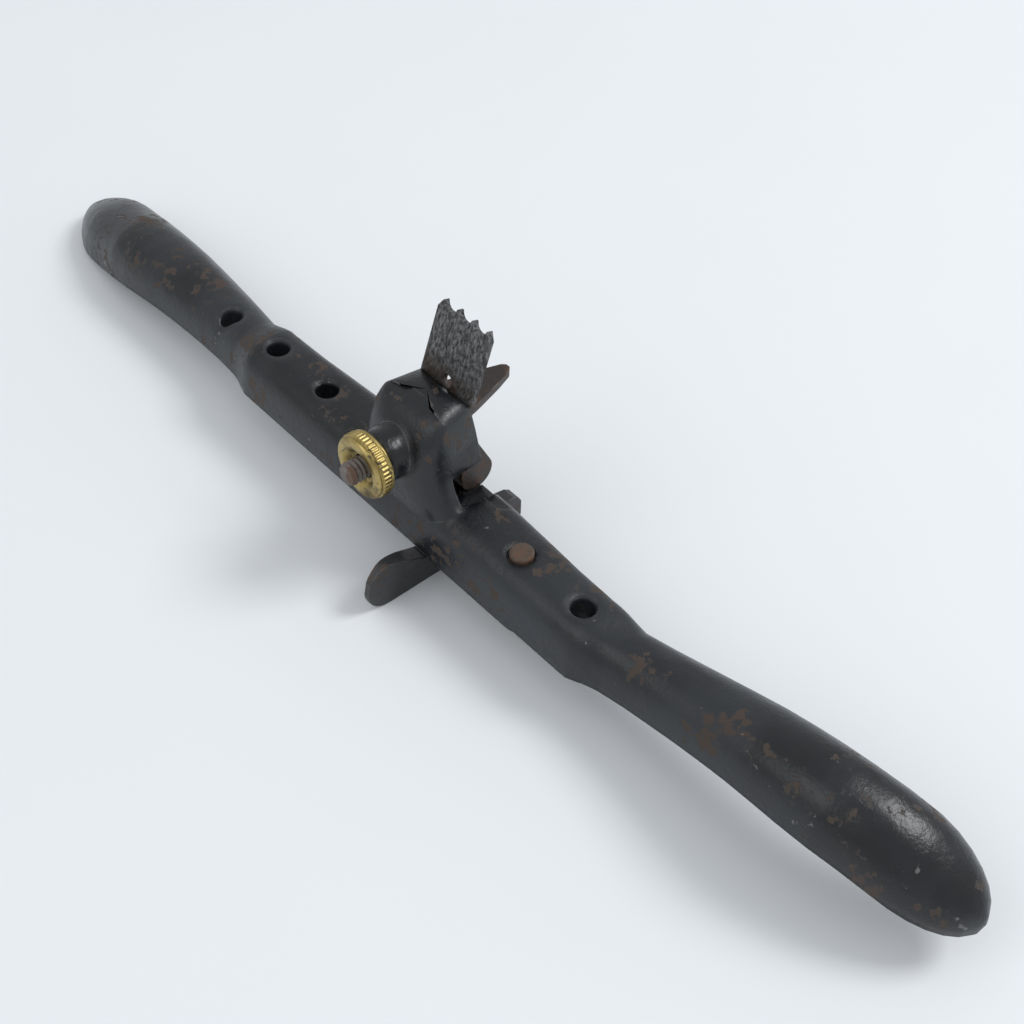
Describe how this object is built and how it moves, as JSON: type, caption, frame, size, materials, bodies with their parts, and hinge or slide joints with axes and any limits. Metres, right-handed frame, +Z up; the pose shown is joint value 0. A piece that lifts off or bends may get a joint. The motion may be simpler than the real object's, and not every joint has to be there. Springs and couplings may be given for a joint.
{
  "type": "hand beader",
  "caption": "Two-handled hand beader with a fluted scraping cutter, a knurled clamp nut and a sliding oval fence.",
  "frame": {"origin": "on the sole plane, midway between the sole's ends, below the row of tapped holes", "axes": "+X along the handles towards the fence, +Y to the cutter's side, +Z up from the sole"},
  "size_m": [0.2868, 0.0468, 0.0561],
  "materials": {
    "japanned_iron": "worn black japan over cast iron",
    "cutter_steel": "pitted grey tool steel",
    "clamp_iron": "brown patinated iron",
    "stud_steel": "dull rusty steel",
    "nut_brass": "tarnished brass",
    "fence_iron": "worn dark iron",
    "screw_steel": "brown rusted steel"
  },
  "bodies": {
    "frame": {"body": "japanned_iron"},
    "cutter": {"cutter": "cutter_steel"},
    "clamp": {"clamp_yoke": "clamp_iron", "clamp_stud": "stud_steel"},
    "nut": {"thumb_nut": "nut_brass"},
    "fence": {"fence": "fence_iron"},
    "fence_screw": {"fence_screw": "screw_steel"}
  },
  "joints": [
    {"name": "nut_turn", "type": "hinge", "parent": "frame", "child": "nut", "pos_m": [0, -0.0136, 0.0222], "axis": [0, -1, 0], "range_deg": [0, 900]},
    {"name": "clamp_slide", "type": "slide", "parent": "frame", "child": "clamp", "axis": [0, 1, 0], "range_m": [0, 0.0027]},
    {"name": "cutter_slide", "type": "slide", "parent": "frame", "child": "cutter", "axis": [0, 0.3156, 0.9489], "range_m": [0, 0.012]},
    {"name": "fence_slide", "type": "slide", "parent": "frame", "child": "fence", "axis": [1, 0, 0], "range_m": [-0.001, 0.0044]},
    {"name": "fence_screw_turn", "type": "hinge", "parent": "frame", "child": "fence_screw", "pos_m": [0.032, 0, 0], "axis": [0, 0, 1], "continuous": true}
  ],
  "couplings": [
    {"joint": "clamp_slide", "follows": "nut_turn", "m_per_rad": 0.0001687}
  ]
}
